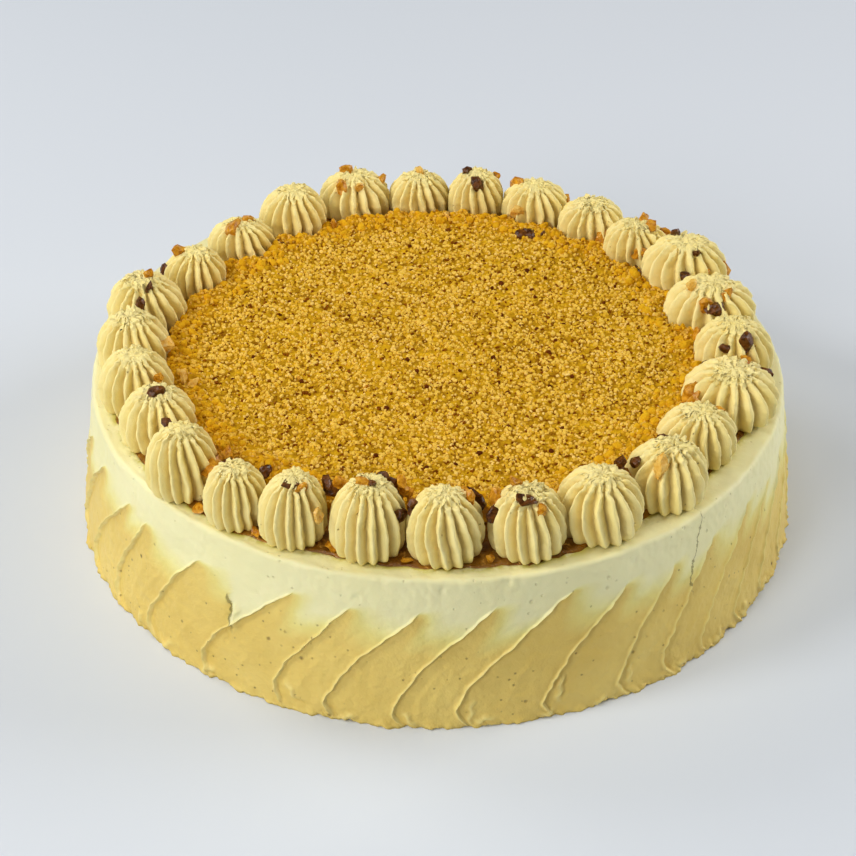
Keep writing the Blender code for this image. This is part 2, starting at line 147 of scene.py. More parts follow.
# Loose chips and lumps that lie on the crumb or the caramel: angle, radius, height, length, kind.
LOOSE_CHIPS = (
    (221.5, 83.2, 52.4, 4.8, 0), (225.8, 83.6, 54.6, 4.6, 0), (223.5, 82.6, 51.2, 3.8, 0),
    (227.2, 84.6, 58, 4.2, 0), (229.2, 86, 55.5, 3.6, 1), (237.4, 86, 59.4, 3.6, 1),
    (239.6, 85, 55.6, 3.8, 0), (250.6, 85.8, 61.6, 4.8, 1), (252.4, 84.8, 62.4, 4, 0),
    (251.8, 84, 58.6, 4, 1), (251.4, 97.2, 60, 3.6, 2), (246.3, 95.6, 67, 3.4, 1),
    (247.8, 95.4, 66.6, 3, 0), (257.7, 91, 69.2, 3.8, 0), (259.2, 91.4, 69, 2.6, 1),
    (260.6, 85.4, 66.2, 4.2, 1), (261.6, 84.2, 64, 5, 1), (263.4, 84.6, 65.2, 4.2, 0),
    (264.2, 84.2, 62.4, 4.6, 0), (262.6, 83.6, 59.6, 4, 1), (265.6, 84.8, 58.4, 3.8, 0),
    (277.9, 84.8, 58.8, 4.6, 1), (279, 85.4, 55.2, 4.6, 0), (274.8, 85.4, 63, 3.4, 0),
    (276.4, 85.4, 62.6, 3.6, 1), (280.6, 87, 61.4, 4.2, 0), (284, 88, 67.2, 3.4, 0),
    (306.2, 84.4, 60.6, 4.6, 1), (307.2, 84.2, 57.2, 4.2, 0), (321, 82, 57, 4, 1),
    (335, 80.5, 57, 4, 0), (349.5, 80, 56, 4, 1), (5, 78.5, 53.2, 4.2, 0),
    (20, 78, 53, 4, 0), (35, 77, 53, 3.6, 1), (66.2, 73.4, 52.2, 5, 1),
    (68, 71.8, 52.2, 3.6, 1), (64, 72.4, 52.2, 3.2, 0), (62.6, 74.2, 52.2, 3, 1),
    (88, 77, 53, 3, 2), (116, 78, 53, 3.2, 0), (131.5, 77, 53, 3, 1),
    (194, 76.5, 52.4, 5.2, 2), (196.5, 75, 52.2, 3.6, 2), (203, 80, 53, 3.2, 0),
    (209.5, 80.6, 53.4, 3.4, 0), (215.5, 81.6, 53.8, 4, 0), (202, 43.8, 52.2, 1.6, 0),
    (224.8, 29.3, 52.2, 1.5, 0), (248, 96.8, 48.6, 2.6, 0), (253, 95.8, 48.6, 3, 0),
    (240.6, 98.2, 48.6, 3.4, 0), (241.8, 97, 48.8, 2.6, 0), (265.2, 96.2, 48.6, 3, 0),
    (278.6, 96.8, 48.6, 2.6, 0), (229, 98, 48.6, 3.2, 0), (171, 88.4, 63.7, 3.5, 1),
    (200.1, 85, 60.4, 3.5, 0), (78.1, 93.3, 59.6, 3.5, 0), (33, 89.2, 64.5, 3.5, 1),
    (25.3, 89.5, 63.1, 3.5, 1), (23, 90.4, 58.7, 3.5, 0), (14.8, 80.1, 62.4, 3.5, 2),
    (10.7, 89.4, 61.8, 3.5, 0), (330.8, 91, 61.4, 3.5, 0), (167.4, 90.1, 64.4, 3, 0),
    (63.5, 95.7, 55.4, 3, 0), (352.5, 84.9, 60.4, 3, 1), (94, 90.6, 62, 3.5, 2),
    (42, 88.4, 63.2, 4, 0), (135.6, 85.6, 60.8, 4, 0),
)


# Table, in metres
TABLE_HALF = 6.0

# Lamps: name, place in metres, size in metres, power in watts and colour, all turned to one spot
WINDOW_WHITE = (1.0, 0.985, 0.95)
ROOM_WHITE = (1.0, 0.99, 0.97)
LAMP_AIM = Vector((0.0, 0.0, 0.03))
LAMPS = (
    ("window", (-1.05, -0.35, 1.05), 0.4, 7.6, WINDOW_WHITE),
    ("back_window", (-1.0, 0.7, 1.0), 0.6, 5.9, WINDOW_WHITE),
    ("far_window", (1.2, 0.3, 0.66), 0.8, 10.5, ROOM_WHITE),
    ("ceiling", (-0.15, -0.2, 1.6), 0.8, 5.3, ROOM_WHITE),
    ("near_wall", (-0.85, -1.2, 0.8), 0.6, 8.6, ROOM_WHITE),
)

# Camera: sensor in millimetres, focal length and photo width in pixels, place in metres, and
# turns in radians
SENSOR_WIDTH = 36.0
FOCAL_PIXELS = 2144.9
PHOTO_PIXELS = 856.0
CAMERA_PLACE = (-0.00248, -0.53605, 0.40954)
CAMERA_PITCH = 0.6254
CAMERA_ROLL = 0.0129


# Colours
def paint(red, green, blue):
    """Linear colour from 0-255 screen values."""
    parts = (red / 255, green / 255, blue / 255)
    return tuple(((part + 0.055) / 1.055) ** 2.4 if part > 0.04 else part / 12.92 for part in parts)


IVORY = paint(244, 238, 186)
IVORY_DEEP = paint(239, 232, 174)
TAN = paint(236, 208, 114)
TAN_DEEP = paint(224, 192, 96)
BLEND_TINT = paint(238, 227, 138)
# Painted highlight on the crests of the knife ridges and on raised torn bits.
CREST_HIGHLIGHT = paint(250, 236, 158)
# Painted shade inside the air pits of the icing.
PIT_SHADE = paint(140, 112, 50)
STAIN_TINT = paint(206, 196, 96)
CRUMB_EDGE = paint(214, 152, 12)
# Painted shade inside the cracks.
CRACK_SHADE = paint(122, 106, 52)
DOLLOP_PALE = paint(252, 235, 163)
DOLLOP_DEEP = paint(246, 227, 145)
# Painted shade in the grooves between a dollop's ridges.
DOLLOP_GROOVE_SHADE = paint(196, 162, 74)
CARAMEL = paint(172, 118, 30)
CARAMEL_DARK = paint(112, 66, 8)
CARAMEL_BIT = paint(214, 160, 70)
TABLE_PALE = paint(217, 222, 230)
TABLE_COOL = paint(213, 220, 229)
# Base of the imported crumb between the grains.
BED_DARK = paint(112, 60, 1)
BED_PALE = paint(228, 178, 26)

# Crumb: name, darkest and palest colour, whether it lies on the rim alone, grains on a square
# millimetre, smallest and largest grain in millimetres, seed, and detail of its shape.
CRUMB_KINDS = (
    ("golden_crumbs", paint(224, 180, 56), paint(244, 206, 96), False, 0.40, 0.34, 0.84, 61, 1),
    ("amber_crumbs", paint(206, 158, 26), paint(234, 190, 58), False, 0.28, 0.30, 0.76, 65, 1),
    ("pale_crumbs", paint(236, 196, 92), paint(248, 214, 124), False, 0.18, 0.26, 0.66, 62, 1),
    ("dark_crumbs", paint(98, 44, 1), paint(152, 86, 4), False, 0.12, 0.28, 0.62, 63, 1),
    ("crumb_clumps", paint(206, 150, 14), paint(238, 190, 40), True, 0.12, 0.6, 1.5, 66, 2),
    ("toasted_specks", paint(70, 28, 4), paint(112, 54, 12), False, 0.006, 0.36, 0.9, 67, 2),
)

# Nut chips, in the order of their kind numbers: name, darkest and palest colour.
CHIP_KINDS = (
    ("amber_nut_chips", paint(172, 104, 10), paint(226, 164, 40)),
    ("dark_nut_chips", paint(54, 26, 5), paint(116, 66, 14)),
    ("pale_nut_chips", paint(222, 164, 60), paint(240, 200, 104)),
)


# Small helpers
def unevenness(phase, shape, longest, shortest, seed, count):
    """Sum of waves, about -1 to 1: phase gives where each wave stands, by its length and heading."""
    chooser = random.Random(seed)
    total = np.zeros(shape)
    weight = 0.0
    for _ in range(count):
        length = longest * (shortest / longest) ** chooser.random()
        heading = chooser.uniform(0.0, math.tau)
        size = (length / longest) ** 0.6
        total += size * np.sin(phase(length, heading) + chooser.uniform(0.0, math.tau))
        weight += size * size
    return total / math.sqrt(weight)


def waves(angle, height, longest, shortest, seed, count=26):
    """Smooth unevenness over the round side: wavelengths in millimetres."""
    def phase(length, heading):
        turns = round(math.tau * WAVE_RADIUS / length * math.cos(heading))
        return turns * angle + math.tau / length * math.sin(heading) * height
    return unevenness(phase, np.broadcast(angle, height).shape, longest, shortest, seed, count)


def plane_waves(x, y, longest, shortest, seed):
    """Smooth unevenness over a flat top: wavelengths in millimetres."""
    def phase(length, heading):
        return math.tau / length * (x * math.cos(heading) + y * math.sin(heading))
    return unevenness(phase, x.shape, longest, shortest, seed, 40)


def smooth_step(low, high, value):
    share = np.clip((value - low) / (high - low), 0.0, 1.0)
    return share * share * (3.0 - 2.0 * share)


class Nodes:
    """Adds nodes to a shader or geometry tree and links them by input name."""

    def __init__(self, tree):
        self.tree = tree

    def put(self, socket, value):
        if isinstance(value, bpy.types.NodeSocket):
            self.tree.links.new(value, socket)
        else:
            socket.default_value = value

    def add(self, kind, inputs=None, **settings):
        node = self.tree.nodes.new(kind)
        for name, value in settings.items():
            setattr(node, name, value)
        for name, value in (inputs or {}).items():
            self.put(node.inputs[name], value)
        return node

    def result(self, kind, inputs=None, **settings):
        return self.add(kind, inputs, **settings).outputs[0]

    def math(self, operation, first, second=0.5):
        return self.result("ShaderNodeMath", {0: first, 1: second}, operation=operation)

    def plus(self, first, second):
        return self.math("ADD", first, second)

    def minus(self, first, second):
        return self.math("SUBTRACT", first, second)

    def times(self, first, second):
        return self.math("MULTIPLY", first, second)

    def vector_math(self, operation, first, second):
        inputs = {0: first, "Scale" if operation == "SCALE" else 1: second}
        return self.result("ShaderNodeVectorMath", inputs, operation=operation)

    def pattern(self, place, scale, detail, roughness, seed):
        inputs = {"Vector": place, "W": seed, "Scale": scale, "Detail": detail, "Roughness": roughness}
        return self.add("ShaderNodeTexNoise", inputs, noise_dimensions="4D")

    def noise(self, place, scale, detail, roughness, seed):
        return self.pattern(place, scale, detail, roughness, seed).outputs[0]

    def wander(self, place, scale, detail, roughness, seed, amount):
        """Random step in any direction, up to about half the amount."""
        colour = self.pattern(place, scale, detail, roughness, seed).outputs["Color"]
        centred = self.vector_math("SUBTRACT", colour, (0.5, 0.5, 0.5))
        return self.vector_math("SCALE", centred, amount)

    def ramp(self, value, low, high):
        """Share of the way from the low value to the high one, from 0 to 1."""
        inputs = {"Value": value, "From Min": low, "From Max": high}
        return self.result("ShaderNodeMapRange", inputs)

    def spread(self, share, low, high):
        """Value between low and high, by a share from 0 to 1."""
        return self.result("ShaderNodeMapRange", {"Value": share, "To Min": low, "To Max": high})

    def attribute(self, name):
        return self.add("ShaderNodeAttribute", attribute_name=name).outputs["Fac"]

    def mix(self, share, first, second):
        """Blend of two colours, each a plain colour or a socket."""
        node = self.add("ShaderNodeMix", data_type="RGBA", blend_type="MIX")
        self.put(node.inputs[0], share)
        for socket, colour in ((node.inputs[6], first), (node.inputs[7], second)):
            self.put(socket, (*colour, 1.0) if isinstance(colour, tuple) else colour)
        return node.outputs[2]


def geometry_tree(name, floats, integers=()):
    """A geometry tree with a mesh in and out, and named inputs for its sizes."""
    tree = bpy.data.node_groups.new(name, "GeometryNodeTree")
    tree.is_modifier = True
    tree.interface.new_socket(name="Geometry", in_out="INPUT", socket_type="NodeSocketGeometry")
    for names, kind in ((floats, "NodeSocketFloat"), (integers, "NodeSocketInt")):
        for socket_name in names:
            tree.interface.new_socket(name=socket_name, in_out="INPUT", socket_type=kind)
    tree.interface.new_socket(name="Geometry", in_out="OUTPUT", socket_type="NodeSocketGeometry")
    nodes = Nodes(tree)
    return tree, nodes, nodes.add("NodeGroupInput").outputs


def finish_tree(nodes, geometry, material):
    """Ends a tree in realized instances with one material."""
    real = nodes.result("GeometryNodeRealizeInstances", {"Geometry": geometry})
    painted = nodes.result("GeometryNodeSetMaterial", {"Geometry": real, "Material": material})
    nodes.add("NodeGroupOutput", {"Geometry": painted})


def finish_scatter(nodes, inputs, pattern, amount, material):
    """Puts a shape on every point, then makes each copy uneven in its own way."""
    placed = nodes.result("GeometryNodeInstanceOnPoints", inputs)
    real = nodes.result("GeometryNodeRealizeInstances", {"Geometry": placed})
    place = nodes.result("GeometryNodeInputPosition")
    rough = nodes.wander(place, *pattern, amount)
    shaped = nodes.result("GeometryNodeSetPosition", {"Geometry": real, "Offset": rough})
    finish_tree(nodes, shaped, material)


def new_object(name, data):
    made = bpy.data.objects.new(name, data)
    bpy.context.scene.collection.objects.link(made)
    return made


def run_tree(tree, carrier_mesh, values):
    """Runs a tree once on a mesh and returns the result as a plain mesh."""
    carrier = new_object("carrier", carrier_mesh)
    modifier = carrier.modifiers.new("shape", "NODES")
    modifier.node_group = tree
    for item in tree.interface.items_tree:
        if item.in_out == "INPUT" and item.name in values:
            modifier[item.identifier] = values[item.name]
    carrier.update_tag()
    bpy.context.view_layer.update()
    graph = bpy.context.evaluated_depsgraph_get()
    made = bpy.data.meshes.new_from_object(carrier.evaluated_get(graph), depsgraph=graph)
    bpy.data.objects.remove(carrier, do_unlink=True)
    return made


def mesh_points(mesh):
    points = np.empty(len(mesh.vertices) * 3)
    mesh.vertices.foreach_get("co", points)
    return points.reshape(-1, 3)


def grid_mesh(name, points):
    """Mesh of quads over rows of points; each row closes on itself, and the first and last row
    are each one point repeated, so they are joined to a single pole."""
    columns = points.shape[1]
    mesh = bmesh.new()
    first = mesh.verts.new(points[0, 0])
    last = mesh.verts.new(points[-1, 0])
    rings = [[mesh.verts.new(point) for point in row] for row in points[1:-1]]
    for column in range(columns):
        following = (column + 1) % columns
        mesh.faces.new((first, rings[0][following], rings[0][column]))
        for lower, upper in zip(rings, rings[1:]):
            mesh.faces.new((lower[column], lower[following], upper[following], upper[column]))
        mesh.faces.new((rings[-1][column], rings[-1][following], last))
    data = bpy.data.meshes.new(name)
    mesh.to_mesh(data)
    mesh.free()
    data.shade_smooth()
    return data


def ring_mesh(name, points):
    """Open ring of quads over rows of points that each close on themselves."""
    rows, columns = points.shape[:2]
    faces = []
    for row in range(rows - 1):
        for column in range(columns):
            following = (column + 1) % columns
            lower, upper = row * columns, (row + 1) * columns
            faces.append((lower + column, lower + following, upper + following, upper + column))
    data = bpy.data.meshes.new(name)
    data.from_pydata(points.reshape(-1, 3).tolist(), [], faces)
    return data


def add_piece(name, mesh, replaced=()):
    """Puts a finished mesh in the scene as a piece of the cake."""
    piece = new_object(name, mesh)
    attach(piece, "root")
    if replaced:
        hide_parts(*replaced)


# Materials
def start_material(name):
    material = bpy.data.materials.new(name)
    material.use_nodes = True
    nodes = Nodes(material.node_tree)
    shader = material.node_tree.nodes["Principled BSDF"]
    place = nodes.add("ShaderNodeTexCoord").outputs["Object"]
    return material, nodes, shader, place


def finish_surface(nodes, shader, colour, roughness, relief, strength, depth):
    """Gives a shader its colour and roughness patterns, and relief of a depth in millimetres."""
    bump = nodes.add("ShaderNodeBump", {"Height": relief, "Strength": strength, "Distance": depth * MM})
    for name, socket in (("Base Color", colour), ("Roughness", roughness), ("Normal", bump.outputs[0])):
        nodes.put(shader.inputs[name], socket)


def pits(nodes, place, cell_scale, size, share, seed):
    """Mask of small round air pits: about 1 in a pit, 0 elsewhere."""
    inputs = {"Vector": place, "W": seed, "Scale": cell_scale}
    cells = nodes.add("ShaderNodeTexVoronoi", inputs, voronoi_dimensions="4D").outputs
    near = nodes.ramp(cells["Distance"], size, size * 0.4)
    lucky = nodes.result("ShaderNodeSeparateColor", {"Color": cells["Color"]})
    return nodes.times(near, nodes.math("LESS_THAN", lucky, share))


def soft_icing(shader, scale, weight):
    shader.inputs["Subsurface Weight"].default_value = weight
    shader.inputs["Subsurface Radius"].default_value = (1.0, 0.7, 0.4)
    shader.inputs["Subsurface Scale"].default_value = scale
    shader.inputs["IOR"].default_value = 1.45


def crack_share(nodes, place, path, breadth):
    """Mask of a thin crack down the icing, from its height and angle round the cake."""
    axes = nodes.add("ShaderNodeSeparateXYZ", {0: place}).outputs
    angle = nodes.math("ARCTAN2", axes[1], axes[0])
    angle = nodes.plus(angle, nodes.times(nodes.math("LESS_THAN", angle, 0.0), math.tau))
    curve = nodes.add("ShaderNodeFloatCurve", {"Value": nodes.math("DIVIDE", axes[2], CAKE_HEIGHT * MM)})
    points = curve.mapping.curves[0].points
    first = path[0][1] - 2.0
    points[0].location = (0.0, (path[0][1] - first) / CRACK_SPAN)
    points[1].location = (1.0, (path[-1][1] - first) / CRACK_SPAN)
    for height, crack_angle in path:
        points.new(height / CAKE_HEIGHT, (crack_angle - first) / CRACK_SPAN)
    curve.mapping.update()
    middle = nodes.plus(nodes.times(curve.outputs[0], math.radians(CRACK_SPAN)), math.radians(first))
    jitter = nodes.times(nodes.minus(nodes.noise(place, 260.0, 4.0, 0.75, 14.0), 0.5), 0.045)
    offset = nodes.math("ABSOLUTE", nodes.plus(nodes.minus(angle, middle), jitter))
    wide = nodes.times(nodes.noise(place, 160.0, 2.0, 0.5, 16.0), breadth)
    line = nodes.ramp(nodes.math("DIVIDE", offset, wide), 1.0, 0.4)
    low = nodes.ramp(axes[2], path[0][0] * MM, (path[0][0] + 4.0) * MM)
    high = nodes.ramp(axes[2], (path[-1][0] + 1.2) * MM, path[-1][0] * MM)
    return nodes.times(line, nodes.times(low, high))


def side_icing_material(name):
    """Ivory icing that turns to tan where the swipes reach, with faint smears, a painted highlight along
    the ridge crests, and painted shade in the pits and cracks.
    """
    material, nodes, shader, place = start_material(name)
    tan_share, crest, stain = (nodes.attribute(share) for share in ("tan", "crest", "stain"))
    broad = nodes.ramp(nodes.noise(place, 45.0, 3.0, 0.55, 1.0), 0.3, 0.7)
    fine = nodes.noise(place, 420.0, 3.0, 0.6, 2.0)
    ivory, tan = nodes.mix(broad, IVORY_DEEP, IVORY), nodes.mix(broad, TAN_DEEP, TAN)
    between = nodes.mix(nodes.ramp(tan_share, 0.0, 0.55), ivory, BLEND_TINT)
    colour = nodes.mix(nodes.ramp(tan_share, 0.35, 1.0), between, tan)
    # Painted highlight along the ridge crests and raised marks.
    colour = nodes.mix(nodes.times(crest, 0.55), colour, CREST_HIGHLIGHT)
    mottle = nodes.times(nodes.ramp(fine, 0.5, 0.8), nodes.times(tan_share, 0.35))
    colour = nodes.mix(mottle, colour, TAN_DEEP)
    patches = nodes.ramp(nodes.noise(place, 260.0, 3.0, 0.65, 12.0), 0.36, 0.52)
    colour = nodes.mix(nodes.times(stain, patches), colour, STAIN_TINT)
    cluster = nodes.ramp(nodes.noise(place, 55.0, 2.0, 0.5, 17.0), 0.42, 0.66)
    small = pits(nodes, place, 600.0, 0.28, nodes.spread(cluster, 0.06, 0.5), 13.0)
    large = pits(nodes, place, 240.0, 0.20, nodes.spread(cluster, 0.08, 0.38), 3.0)
    specks = nodes.math("MAXIMUM", large, nodes.times(small, 0.7))
    # Painted shade inside the air pits.
    colour = nodes.mix(nodes.times(specks, nodes.ramp(tan_share, -0.25, 0.8)), colour, PIT_SHADE)
    long_crack = crack_share(nodes, place, CRACK, CRACK_BREADTH)
    short_crack = crack_share(nodes, place, SHORT_CRACK, SHORT_CRACK_BREADTH)
    crack = nodes.math("MAXIMUM", long_crack, short_crack)
    # Painted shade inside the cracks.
    colour = nodes.mix(nodes.times(crack, 0.65), colour, CRACK_SHADE)
    grain = nodes.plus(fine, nodes.times(nodes.noise(place, 190.0, 3.0, 0.6, 15.0), 0.9))
    grain_size = nodes.plus(nodes.times(tan_share, 0.9), 0.35)
    relief = nodes.minus(nodes.minus(nodes.times(grain, grain_size), specks), nodes.times(crack, 1.5))
    finish_surface(nodes, shader, colour, nodes.spread(fine, 0.42, 0.62), relief, 0.6, 0.6)
    soft_icing(shader, 1.5 * MM, 0.12)
    return material


def dollop_material():
    """Pale caramel buttercream with fine air pits, with painted shade in the pits and in the grooves
    between the ridges.
    """
    material, nodes, shader, place = start_material("piped_buttercream")
    broad = nodes.ramp(nodes.noise(place, 120.0, 3.0, 0.55, 4.0), 0.3, 0.7)
    fine = nodes.noise(place, 1100.0, 3.0, 0.6, 5.0)
    # Painted shade in the grooves between the ridges.
    groove_shade = nodes.times(nodes.ramp(nodes.attribute("groove_shade"), 0.35, 0.95), 0.65)
    colour = nodes.mix(groove_shade, nodes.mix(broad, DOLLOP_DEEP, DOLLOP_PALE), DOLLOP_GROOVE_SHADE)
    specks = pits(nodes, place, 620.0, 0.22, 0.16, 6.0)
    # Painted shade inside the air pits.
    colour = nodes.mix(nodes.times(specks, 0.7), colour, PIT_SHADE)
    relief = nodes.minus(nodes.times(fine, 0.6), specks)
    finish_surface(nodes, shader, colour, nodes.spread(fine, 0.45, 0.65), relief, 0.7, 0.5)
    soft_icing(shader, 0.8 * MM, 0.05)
    return material


def caramel_material():
    """Brown glossy caramel with darker and lighter bits."""
    material, nodes, shader, place = start_material("glossy_caramel")
    broad = nodes.ramp(nodes.noise(place, 160.0, 4.0, 0.6, 7.0), 0.35, 0.65)
    bits = nodes.noise(place, 620.0, 3.0, 0.65, 8.0)
    smooth = nodes.mix(broad, CARAMEL_DARK, CARAMEL)
    colour = nodes.mix(nodes.ramp(bits, 0.56, 0.68), smooth, CARAMEL_BIT)
    finish_surface(nodes, shader, colour, nodes.spread(bits, 0.18, 0.42), bits, 0.6, 0.8)
    soft_icing(shader, 1.0 * MM, 0.08)
    return material


def crumb_material(name, low, high, seed):
    """Matte baked crumb, each grain a slightly different brown, darker towards the dollops."""
    material, nodes, shader, place = start_material(name)
    patch = nodes.noise(place, 480.0, 3.0, 0.7, seed)
    broad = nodes.noise(place, 70.0, 2.0, 0.5, seed + 1.0)
    share = nodes.plus(nodes.times(patch, 0.8), nodes.times(broad, 0.2))
    flat = nodes.vector_math("MULTIPLY", place, (1.0, 1.0, 0.0))
    reach = nodes.add("ShaderNodeVectorMath", {0: flat}, operation="LENGTH").outputs["Value"]
    by_edge = nodes.times(nodes.ramp(reach, 68.0 * MM, 78.0 * MM), 0.45)
    colour = nodes.mix(by_edge, nodes.mix(nodes.ramp(share, 0.34, 0.66), low, high), CRUMB_EDGE)
    fine = nodes.noise(place, 2600.0, 2.0, 0.6, seed + 2.0)
    finish_surface(nodes, shader, colour, nodes.spread(fine, 0.6, 0.9), patch, 0.5, 0.4)
    shader.inputs["Specular IOR Level"].default_value = 0.05
    return material


def nut_material(name, low, high, seed):
    """Toasted nut chip with a thin caramel glaze."""
    material, nodes, shader, place = start_material(name)
    patch = nodes.noise(place, 700.0, 3.0, 0.6, seed)
    colour = nodes.mix(nodes.ramp(patch, 0.35, 0.65), low, high)
    finish_surface(nodes, shader, colour, nodes.spread(patch, 0.16, 0.4), patch, 0.5, 0.5)
    shader.inputs["Specular IOR Level"].default_value = 0.28
    return material


# Icing on the side
def stroke_list():
    """Foot angle, tip angle and tip height of every stroke, once round and back to the first."""
    strokes = list(FRONT_STROKES)
    first = FRONT_STROKES[-1][0]
    spacing = (FRONT_STROKES[0][0] + 360 - first) / (REAR_STROKE_COUNT + 1)
    chooser = random.Random(7)
    for step in range(REAR_STROKE_COUNT):
        foot = first + spacing * (step + 1) + chooser.uniform(-1.0, 1.0)
        lean = REAR_STROKE_LEAN + chooser.uniform(-1.5, 1.5)
        strokes.append((foot, foot + lean, 36 + chooser.uniform(-2.0, 2.0)))
    foot, tip, top = strokes[0]
    strokes.append((foot + 360, tip + 360, top))
    return strokes


def ridge_angle(stroke, number, height):
    """Where a stroke's ridge stands at a height, in degrees: hooked at the foot, then leaning over."""
    foot, tip, top = stroke
    rise = np.clip((height - 5.0) / (top - 5.0), 0.0, 1.12)
    hook = 2.2 * np.clip(1.0 - height / 8.0, 0.0, 1.0) ** 2
    chooser = random.Random(900 + number)
    phases = [chooser.uniform(0.0, math.tau) for _ in range(3)]
    wiggle = 0.22 * np.sin(height / 3.3 + phases[0]) + 0.12 * np.sin(height / 1.25 + phases[1])
    wiggle = wiggle + 0.06 * np.sin(height / 0.55 + phases[2])
    return foot + (tip - foot) * rise ** 1.45 + hook + wiggle


def stroke_columns(count):
    """Where the columns stand within a stroke, closer together by the ridges."""
    even = np.arange(count) / count
    return even - 0.6 * np.sin(math.tau * even) / math.tau


def stroke_relief(columns, width, height, top, next_top, number, chooser):
    """Relief and crest share of one stroke: its own ridge on the left, the next one on the right."""
    after = columns * width
    before = (1.0 - columns) * width
    body = smooth_step(-1.5, 4.0, height)
    fade = 1.0 - smooth_step(top - 8.0, top + 1.0, height)
    next_fade = 1.0 - smooth_step(next_top - 8.0, next_top + 1.0, height)
    slope = SWELL_HEIGHT * columns ** 1.5 * next_fade - HOLLOW_DEPTH * (1.0 - columns) ** 4.0 * fade
    own_end = 1.0 - smooth_step(top - 1.0, top + 1.5, height)
    next_end = 1.0 - smooth_step(next_top - 1.0, next_top + 1.5, height)
    own_crest = np.exp(-(after / 0.34) ** 2) * own_end
    next_crest = np.exp(-(before / 0.60) ** 2) * next_end
    lumps = 0.7 + 0.3 * np.sin(height / 1.9 + chooser.uniform(0.0, 6.0)) * np.sin(height / 0.8 + number)
    crest = own_crest + next_crest * (1.0 - own_crest)
    relief = slope + CREST_HEIGHT * lumps * crest
    for _ in range(chooser.randint(0, 2)):
        line = chooser.uniform(0.2, 0.85)
        middle, half = chooser.uniform(6.0, 26.0), chooser.uniform(5.0, 14.0)
        along = np.exp(-((height - middle) / half) ** 4)
        bend = line + 0.02 * np.sin(height / 4.0 + chooser.uniform(0.0, 6.0))
        scratch = np.exp(-((columns - bend) * width / 0.8) ** 2) * along * fade
        relief = relief + scratch * chooser.choice((0.22, 0.14, -0.12))
    streak = sum(
        math.sin(chooser.uniform(0, 6)) * np.sin(columns * turns + chooser.uniform(0, 6) + height * 0.03)
        for turns in (19.0, 31.0, 47.0))
    relief = relief + 0.015 * streak * fade
    return body * relief, np.clip(own_crest + next_crest, 0.0, 1.0) * body


def stroke_tan_share(columns, height, top, chooser):
    """Share of tan: up to the tip by the ridge, then feathered down towards the next ridge."""
    drop = chooser.uniform(5.5, 9.5)
    reach = top + 0.8 - drop * smooth_step(0.06, 0.65, columns + 0.0 * height)
    reach = reach + 0.8 * np.sin(columns * 8.0 + chooser.uniform(0, 6)) * smooth_step(0.1, 0.5, columns)
    softness = 2.2 + 9.0 * smooth_step(0.03, 0.45, columns)
    return np.clip((reach - height) / softness + 0.55, 0.0, 1.0)


def bare_share(angle, height):
    """Share of ivory where a stroke breaks off beside the short crack."""
    ragged = np.degrees(angle) + 0.25 * np.sin(height / 1.1)
    beside = smooth_step(BARE_ANGLE - 0.25, BARE_ANGLE + 0.25, ragged)
    return beside * smooth_step(BARE_HEIGHT - 2.0, BARE_HEIGHT + 3.0, height)


def side_surface():
    """Height of each row, then angle, relief, tan share and crest share of each point of the side."""
    rows = np.arange(0.0, CAKE_HEIGHT - RIM_ROUND + 0.01, SIDE_ROW)
    strokes = stroke_list()
    last = len(strokes) - 1
    ridges = [ridge_angle(stroke, number % last, rows) for number, stroke in enumerate(strokes)]
    chooser = random.Random(21)
    angles, reliefs, tans, crests = [], [], [], []
    for number in range(last):
        count = FRONT_STROKE_COLUMNS if number < len(FRONT_STROKES) else REAR_STROKE_COLUMNS
        columns = stroke_columns(count)[None, :]
        left, right = ridges[number][:, None], ridges[number + 1][:, None]
        width = np.radians(right - left) * STROKE_RADIUS
        height = rows[:, None]
        top, next_top = strokes[number][2], strokes[number + 1][2]
        relief, crest = stroke_relief(columns, width, height, top, next_top, number, chooser)
        turn = np.radians(left + (right - left) * columns)
        angles.append(turn)
        reliefs.append(relief)
        tan_share = stroke_tan_share(columns, height, top, chooser)
        if number == BARE_STROKE:
            tan_share = tan_share * (1.0 - bare_share(turn, height))
        tans.append(tan_share)
        crests.append(crest)
    return rows, np.hstack(angles), np.hstack(reliefs), np.hstack(tans), np.hstack(crests)


def mark_relief(angle, height):
    """Torn bits, scrapes and dimples: rise at each point of the side."""
    total = 0.0 * angle
    for mark_angle, mark_height, length, width, rise, lean in SIDE_MARKS:
        turned = (angle - math.radians(mark_angle) + math.pi) % math.tau - math.pi
        across = turned * MARK_RADIUS
        upward = height - mark_height
        turn = math.radians(lean)
        along = upward * math.cos(turn) + across * math.sin(turn)
        aside = across * math.cos(turn) - upward * math.sin(turn)
        aside = aside + 0.35 * np.sin(along * 1.7 + mark_angle)
        total += rise * np.exp(-(2.0 * along / length) ** 4 - (1.7 * aside / width) ** 2)
    return total


def sway(angle):
    return 0.5 * (0.6 * np.sin(3 * angle + 0.7) + 0.4 * np.sin(7 * angle + 2.1))


def rim_dip(angle):
    return 0.5 * (0.5 + 0.3 * np.sin(5 * angle + 1.3) + 0.2 * np.sin(13 * angle))


def caramel_edge(angle):
    """Radius at which the caramel ends and the bare icing of the rim begins."""
    degrees = np.degrees(angle) % 360.0
    radius = np.interp(degrees, [row[0] for row in CARAMEL_EDGE], [row[1] for row in CARAMEL_EDGE])
    return radius + 0.45 * waves(angle, 0.0, 26.0, 3.0, 36)


